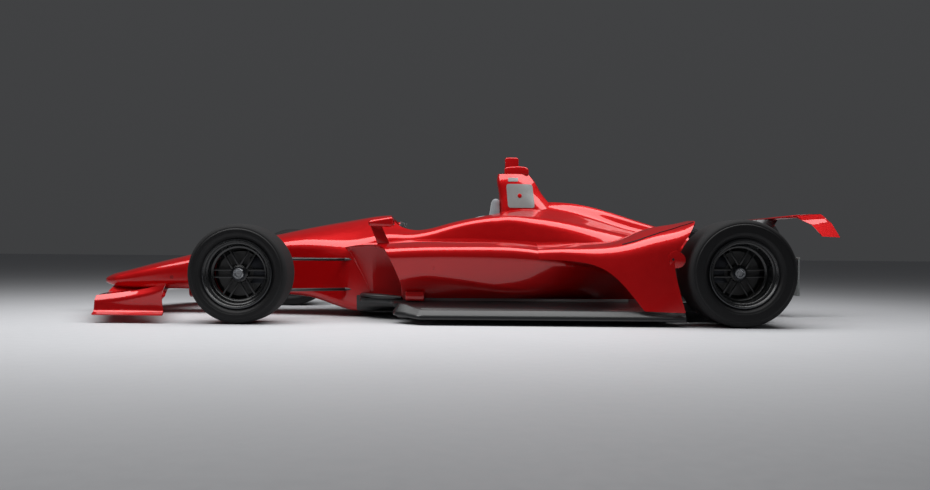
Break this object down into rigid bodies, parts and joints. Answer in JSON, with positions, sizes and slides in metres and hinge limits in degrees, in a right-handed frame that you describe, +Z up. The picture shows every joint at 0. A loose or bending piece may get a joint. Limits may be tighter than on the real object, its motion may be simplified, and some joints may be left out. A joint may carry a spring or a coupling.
{
  "type": "open wheel racing car",
  "caption": "Single seat open wheel racing car with wings, sidepods, rear wheel guards, roll hoop, open cockpit, steering front wheels and free turning wheels.",
  "frame": {"origin": "on the ground, under the middle of the car's length and width", "axes": "+X towards the rear wing, -X towards the nose, +Y towards the car's right, +Z up"},
  "size_m": [5.04, 1.938, 1.125],
  "materials": {
    "cast_metal": "cast alloy",
    "dark_composite": "satin black carbon composite",
    "grey_pad": "grey foam pad with a textile cover",
    "machined_metal": "machined aluminium",
    "radiator_core": "dark finned core",
    "red_paint": "gloss red paint",
    "rim": "gloss black paint",
    "seat_shell": "black composite shell",
    "steering_grip": "black suede and carbon",
    "tyre": "matte black rubber"
  },
  "bodies": {
    "chassis": {"camera_pod": "red_paint", "crash_structure": "dark_composite", "engine_block": "cast_metal", "engine_cover": "red_paint", "floor": "dark_composite", "front_endplate_left": "red_paint", "front_endplate_right": "red_paint", "front_lower_wishbones": "dark_composite", "front_pushrods": "dark_composite", "front_upper_wishbones": "dark_composite", "front_wing": "red_paint", "gearbox": "cast_metal", "head_surround": "grey_pad", "mirrors": "red_paint", "nose": "red_paint", "radiators": "radiator_core", "rear_endplates": "red_paint", "rear_lower_wishbones": "dark_composite", "rear_pushrods": "dark_composite", "rear_upper_wishbones": "dark_composite", "rear_upright_left": "machined_metal", "rear_upright_right": "machined_metal", "rear_wing": "red_paint", "rear_wing_pylons": "dark_composite", "roll_hoop": "red_paint", "seat": "seat_shell", "sidepod_left": "red_paint", "sidepod_right": "red_paint", "skid_plate": "dark_composite", "tub": "red_paint", "wheel_guard_left": "red_paint", "wheel_guard_right": "red_paint"},
    "front_upright_left": {"front_upright_left": "machined_metal"},
    "front_upright_right": {"front_upright_right": "machined_metal"},
    "front_wheel_left": {"front_tyre_left": "tyre", "front_rim_left": "rim"},
    "front_wheel_right": {"front_tyre_right": "tyre", "front_rim_right": "rim"},
    "rear_wheel_left": {"rear_tyre_left": "tyre", "rear_rim_left": "rim", "driveshaft_left": "machined_metal"},
    "rear_wheel_right": {"rear_tyre_right": "tyre", "rear_rim_right": "rim", "driveshaft_right": "machined_metal"},
    "steering_rack": {"track_rods": "dark_composite"},
    "hand_wheel": {"steering_wheel": "steering_grip"}
  },
  "joints": [
    {"name": "steer_left", "type": "hinge", "parent": "chassis", "child": "front_upright_left", "pos_m": [-1.336, -0.712, 0.307], "axis": [0, 0, 1], "range_deg": [-16, 16]},
    {"name": "steer_right", "type": "hinge", "parent": "chassis", "child": "front_upright_right", "pos_m": [-1.336, 0.712, 0.307], "axis": [0, 0, 1], "range_deg": [-16, 16]},
    {"name": "steering_rack_slide", "type": "slide", "parent": "chassis", "child": "steering_rack", "axis": [0, 1, 0], "range_m": [-0.028, 0.028]},
    {"name": "steering_wheel_turn", "type": "hinge", "parent": "chassis", "child": "hand_wheel", "pos_m": [-0.40403, 0, 0.596], "axis": [0.9703, 0, 0.2419], "range_deg": [-130, 130]},
    {"name": "front_left_spin", "type": "hinge", "parent": "front_upright_left", "child": "front_wheel_left", "pos_m": [-1.336, -0.824, 0.307], "axis": [0, 1, 0], "continuous": true},
    {"name": "front_right_spin", "type": "hinge", "parent": "front_upright_right", "child": "front_wheel_right", "pos_m": [-1.336, 0.824, 0.307], "axis": [0, 1, 0], "continuous": true},
    {"name": "rear_left_spin", "type": "hinge", "parent": "chassis", "child": "rear_wheel_left", "pos_m": [1.75, -0.7765, 0.333], "axis": [0, 1, 0], "continuous": true},
    {"name": "rear_right_spin", "type": "hinge", "parent": "chassis", "child": "rear_wheel_right", "pos_m": [1.75, 0.7765, 0.333], "axis": [0, 1, 0], "continuous": true}
  ],
  "couplings": [
    {"joint": "steer_right", "follows": "steer_left", "ratio": 1},
    {"joint": "steering_rack_slide", "follows": "steer_left", "m_per_rad": -0.1},
    {"joint": "steering_wheel_turn", "follows": "steer_left", "ratio": 8}
  ]
}
